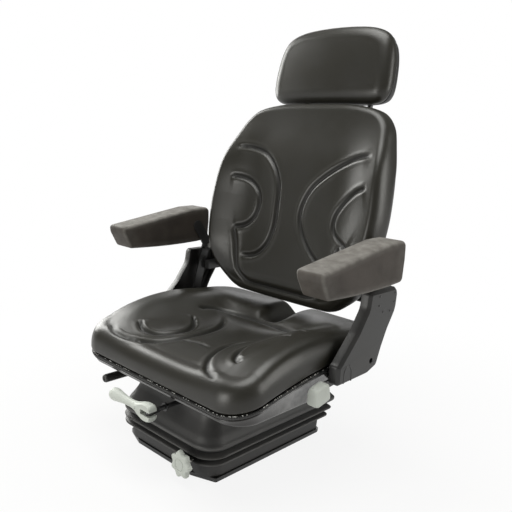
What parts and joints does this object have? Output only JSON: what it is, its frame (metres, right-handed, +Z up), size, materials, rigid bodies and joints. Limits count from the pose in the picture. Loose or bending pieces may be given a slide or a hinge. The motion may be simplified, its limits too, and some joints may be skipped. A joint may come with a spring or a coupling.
{
  "type": "suspension seat",
  "caption": "Operator's seat with a scissor suspension in a bellows, slide rails, reclining back, folding armrests and a sliding headrest.",
  "frame": {"origin": "centre of the underside of the lower frame", "axes": "+Z up; the occupant faces -Y; the occupant's left is +X"},
  "size_m": [0.672, 0.6577, 0.9512],
  "materials": {
    "black_vinyl": "satin, embossed",
    "black_plastic": "satin",
    "gloss_black": "gloss",
    "rubber": "matt",
    "foam_skin": "matt foam skin",
    "grey_plastic": "satin",
    "painted_steel": "satin paint",
    "zinc_steel": "zinc plated",
    "nylon": "matt"
  },
  "bodies": {
    "base": {"lower_frame": "painted_steel", "pivot_shaft_lower": "zinc_steel", "damper_pin_lower": "zinc_steel", "bellows": "rubber", "coil_spring_left": "zinc_steel", "coil_spring_right": "zinc_steel"},
    "knob": {"star_knob": "grey_plastic", "star_knob_shaft": "zinc_steel"},
    "upper": {"upper_frame": "painted_steel", "pivot_shaft_upper": "zinc_steel", "damper_pin_upper": "zinc_steel", "rail_lower_left": "zinc_steel", "rail_lower_right": "zinc_steel"},
    "scissor_outer": {"scissor_arms_outer": "painted_steel", "centre_pin_left": "zinc_steel", "centre_pin_right": "zinc_steel"},
    "scissor_inner": {"scissor_arms_inner": "painted_steel"},
    "upper_roller_left": {"roller_upper_left": "nylon"},
    "upper_roller_right": {"roller_upper_right": "nylon"},
    "lower_roller_left": {"roller_lower_left": "nylon"},
    "lower_roller_right": {"roller_lower_right": "nylon"},
    "damper_tube": {"damper_body": "painted_steel"},
    "damper_piston": {"damper_rod": "zinc_steel"},
    "crank": {"crank_shaft": "painted_steel", "crank_handle_pin": "zinc_steel"},
    "crank_grip": {"crank_handle": "grey_plastic"},
    "seat": {"seat_pan": "gloss_black", "seat_edge_trim": "black_plastic", "seat_cushion": "black_vinyl", "rail_upper_left": "zinc_steel", "rail_upper_right": "zinc_steel", "recliner_bracket_left": "painted_steel", "recliner_bracket_right": "painted_steel", "recline_bolt_left": "zinc_steel", "recline_bolt_right": "zinc_steel", "recliner_lever_pin": "zinc_steel"},
    "rail_release": {"rail_lever": "painted_steel", "rail_lever_grip": "black_plastic"},
    "recliner_release": {"recliner_lever": "painted_steel", "recliner_paddle": "grey_plastic"},
    "back": {"back_cushion": "black_vinyl", "back_shell": "black_plastic", "back_frame": "painted_steel", "headrest_guide_left": "nylon", "headrest_guide_right": "nylon", "side_cover_left": "black_plastic", "side_cover_right": "black_plastic", "armrest_bolt_left": "zinc_steel", "armrest_bolt_right": "zinc_steel"},
    "armrest_left": {"armrest_pad_left": "foam_skin", "armrest_plate_left": "painted_steel"},
    "armrest_right": {"armrest_pad_right": "foam_skin", "armrest_plate_right": "painted_steel"},
    "headrest": {"headrest_cushion": "black_vinyl", "headrest_shell": "black_plastic", "headrest_posts": "painted_steel"}
  },
  "joints": [
    {"name": "suspension_travel", "type": "slide", "parent": "base", "child": "upper", "axis": [0, 0, 1], "range_m": [-0.08, 0], "stiffness_N_per_m": 8000, "springref_m": 0.05, "deforming": ["bellows", "coil_spring_left", "coil_spring_right"]},
    {"name": "scissor_outer_swing", "type": "hinge", "parent": "base", "child": "scissor_outer", "pos_m": [0, 0.13, 0.0145], "axis": [1, 0, 0], "range_deg": [0, 17]},
    {"name": "scissor_inner_swing", "type": "hinge", "parent": "upper", "child": "scissor_inner", "pos_m": [0, 0.13, 0.1165], "axis": [1, 0, 0], "range_deg": [-17, 0]},
    {"name": "damper_swing", "type": "hinge", "parent": "base", "child": "damper_tube", "pos_m": [0, -0.1, 0.0185], "axis": [1, 0, 0], "range_deg": [-23, 0]},
    {"name": "damper_stroke", "type": "slide", "parent": "damper_tube", "child": "damper_piston", "axis": [0, 0.8944, 0.4472], "range_m": [-0.022, 0]},
    {"name": "upper_roller_left_spin", "type": "hinge", "parent": "scissor_outer", "child": "upper_roller_left", "pos_m": [0, -0.13076, 0.1165], "axis": [1, 0, 0], "continuous": true},
    {"name": "upper_roller_right_spin", "type": "hinge", "parent": "scissor_outer", "child": "upper_roller_right", "pos_m": [0, -0.13076, 0.1165], "axis": [1, 0, 0], "continuous": true},
    {"name": "lower_roller_left_spin", "type": "hinge", "parent": "scissor_inner", "child": "lower_roller_left", "pos_m": [0, -0.13076, 0.0145], "axis": [1, 0, 0], "continuous": true},
    {"name": "lower_roller_right_spin", "type": "hinge", "parent": "scissor_inner", "child": "lower_roller_right", "pos_m": [0, -0.13076, 0.0145], "axis": [1, 0, 0], "continuous": true},
    {"name": "star_knob_turn", "type": "hinge", "parent": "base", "child": "knob", "pos_m": [0.103, -0.222, 0.044], "axis": [0, 1, 0], "continuous": true},
    {"name": "crank_turn", "type": "hinge", "parent": "upper", "child": "crank", "pos_m": [0.033, -0.233, 0.1385], "axis": [0, 1, 0], "continuous": true},
    {"name": "crank_handle_fold", "type": "hinge", "parent": "crank", "child": "crank_grip", "pos_m": [0.033, -0.245, 0.1385], "axis": [0, 0, 1], "range_deg": [0, 90]},
    {"name": "seat_slide", "type": "slide", "parent": "upper", "child": "seat", "axis": [0, 1, 0], "range_m": [0, 0.1]},
    {"name": "rail_lever_lift", "type": "hinge", "parent": "seat", "child": "rail_release", "pos_m": [-0.098, 0.02, 0.1545], "axis": [-1, 0, 0], "range_deg": [0, 4], "stiffness_Nm_per_rad": 3, "springref_deg": -5.73},
    {"name": "recliner_lever_lift", "type": "hinge", "parent": "seat", "child": "recliner_release", "pos_m": [0.2715, 0.085, 0.209], "axis": [-1, 0, 0], "range_deg": [0, 15], "stiffness_Nm_per_rad": 1, "springref_deg": -8.59},
    {"name": "backrest_recline", "type": "hinge", "parent": "seat", "child": "back", "pos_m": [0, 0.134, 0.235], "axis": [-1, 0, 0], "range_deg": [-8, 8]},
    {"name": "armrest_left_fold", "type": "hinge", "parent": "back", "child": "armrest_left", "pos_m": [0.2685, 0.176, 0.392], "axis": [-1, 0, 0], "range_deg": [0, 90]},
    {"name": "armrest_right_fold", "type": "hinge", "parent": "back", "child": "armrest_right", "pos_m": [-0.2685, 0.176, 0.392], "axis": [-1, 0, 0], "range_deg": [0, 90]},
    {"name": "headrest_height", "type": "slide", "parent": "back", "child": "headrest", "axis": [0, 0.2028, 0.9792], "range_m": [0, 0.06]}
  ],
  "couplings": [
    {"joint": "scissor_outer_swing", "follows": "suspension_travel", "rad_per_m": -3.6777},
    {"joint": "scissor_inner_swing", "follows": "suspension_travel", "rad_per_m": 3.6777},
    {"joint": "damper_swing", "follows": "suspension_travel", "rad_per_m": 4.9523},
    {"joint": "damper_stroke", "follows": "suspension_travel", "ratio": 0.2677}
  ]
}
